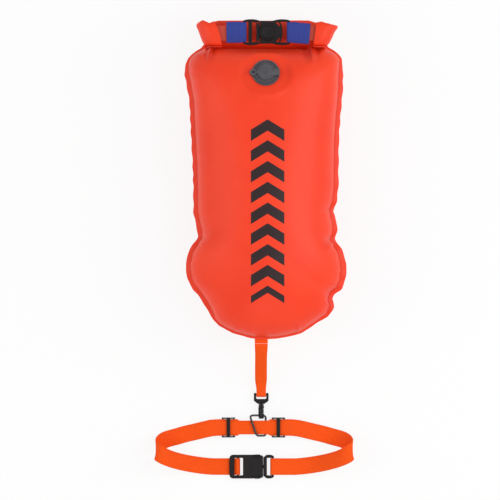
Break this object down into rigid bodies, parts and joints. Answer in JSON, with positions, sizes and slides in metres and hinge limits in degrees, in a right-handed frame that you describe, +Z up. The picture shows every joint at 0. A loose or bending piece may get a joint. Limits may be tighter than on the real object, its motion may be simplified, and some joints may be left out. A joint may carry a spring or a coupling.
{
  "type": "open water swim buoy",
  "caption": "Inflatable tow float with a roll-top dry bag mouth, an air valve, a tow strap with a snap hook and an adjustable waist belt.",
  "frame": {"origin": "the flat patch under the float's back, at the middle of what it lies on", "axes": "+X across the float toward the round closure housing's side, +Y along the float from the waist belt toward the roll-top, +Z up out of its front panel"},
  "size_m": [0.3008, 0.69, 0.146],
  "materials": {
    "coated_fabric": "smooth coated, semi-gloss",
    "liner_fabric": "matte",
    "blue_webbing": "woven",
    "orange_webbing": "woven",
    "black_acetal": "satin",
    "grey_vinyl": "satin",
    "valve_rubber": "matte",
    "strip_plastic": "satin",
    "black_wire": "semi-gloss black coat"
  },
  "bodies": {
    "float": {"front_panel": "coated_fabric", "back_panel": "coated_fabric", "dry_liner": "liner_fabric", "rolled_mouth": "coated_fabric", "mouth_strip": "strip_plastic", "closure_tab_left": "blue_webbing", "closure_tab_right": "blue_webbing", "closure_socket": "black_acetal", "closure_plug": "black_acetal", "valve_flange": "grey_vinyl", "valve_flap": "valve_rubber", "cap_strap": "grey_vinyl", "tow_root": "orange_webbing"},
    "cap": {"valve_cap": "grey_vinyl"},
    "button": {"closure_button": "black_acetal"},
    "strap": {"tow_strap": "orange_webbing"},
    "eye": {"swivel_eye": "black_acetal"},
    "hook": {"hook_body": "black_acetal"},
    "gate": {"hook_gate": "black_acetal"},
    "ring": {"belt_ring": "black_wire"},
    "belt": {"belt_webbing": "orange_webbing", "belt_tail_left": "orange_webbing", "belt_tail_right": "orange_webbing", "buckle_socket": "black_acetal", "buckle_plug": "black_acetal"},
    "left_slider": {"slider_left": "black_acetal"},
    "right_slider": {"slider_right": "black_acetal"},
    "upper_prong": {"prong_upper": "black_acetal"},
    "lower_prong": {"prong_lower": "black_acetal"}
  },
  "joints": [
    {"name": "cap_hinge", "type": "hinge", "parent": "float", "child": "cap", "pos_m": [-0.0134, 0.17605, 0.13885], "axis": [0, -0.9272, 0.3746], "range_deg": [0, 110]},
    {"name": "button_press", "type": "slide", "parent": "float", "child": "button", "axis": [0, 0, -1], "range_m": [0, 0.0015], "stiffness_N_per_m": 300},
    {"name": "strap_root", "type": "hinge", "parent": "float", "child": "strap", "pos_m": [-0.0056, -0.2306, 0.0632], "axis": [-1, 0, 0], "range_deg": [-25, 35]},
    {"name": "strap_end", "type": "hinge", "parent": "strap", "child": "eye", "pos_m": [-0.0056, -0.3077, 0.00651], "axis": [-1, 0, 0], "range_deg": [-25, 25]},
    {"name": "hook_swivel", "type": "hinge", "parent": "eye", "child": "hook", "pos_m": [-0.0056, -0.3223, 0.00651], "axis": [0, 1, 0], "continuous": true},
    {"name": "gate_hinge", "type": "hinge", "parent": "hook", "child": "gate", "pos_m": [-0.00452, -0.32965, 0.01031], "axis": [0.9617, 0, -0.2742], "range_deg": [0, 20], "stiffness_Nm_per_rad": 0.004},
    {"name": "ring_swing", "type": "hinge", "parent": "hook", "child": "ring", "pos_m": [-0.0056, -0.3391, 0.00651], "axis": [0.9617, 0, -0.2742], "range_deg": [-15, 15]},
    {"name": "belt_slide", "type": "slide", "parent": "ring", "child": "belt", "axis": [1, 0, 0], "range_m": [-0.0015, 0.012]},
    {"name": "left_slider_slide", "type": "slide", "parent": "belt", "child": "left_slider", "axis": [1, 0, 0], "range_m": [-0.009, 0.0065]},
    {"name": "right_slider_slide", "type": "slide", "parent": "belt", "child": "right_slider", "axis": [1, 0, 0], "range_m": [-0.0005, 0.012]},
    {"name": "upper_prong_flex", "type": "hinge", "parent": "belt", "child": "upper_prong", "pos_m": [-0.0031, -0.4071, 0.0052], "axis": [0, 0, 1], "range_deg": [0, 8], "stiffness_Nm_per_rad": 0.05},
    {"name": "lower_prong_flex", "type": "hinge", "parent": "belt", "child": "lower_prong", "pos_m": [-0.0031, -0.4255, 0.0052], "axis": [0, 0, -1], "range_deg": [0, 8], "stiffness_Nm_per_rad": 0.05}
  ],
  "couplings": [
    {"joint": "lower_prong_flex", "follows": "upper_prong_flex", "ratio": 1}
  ]
}
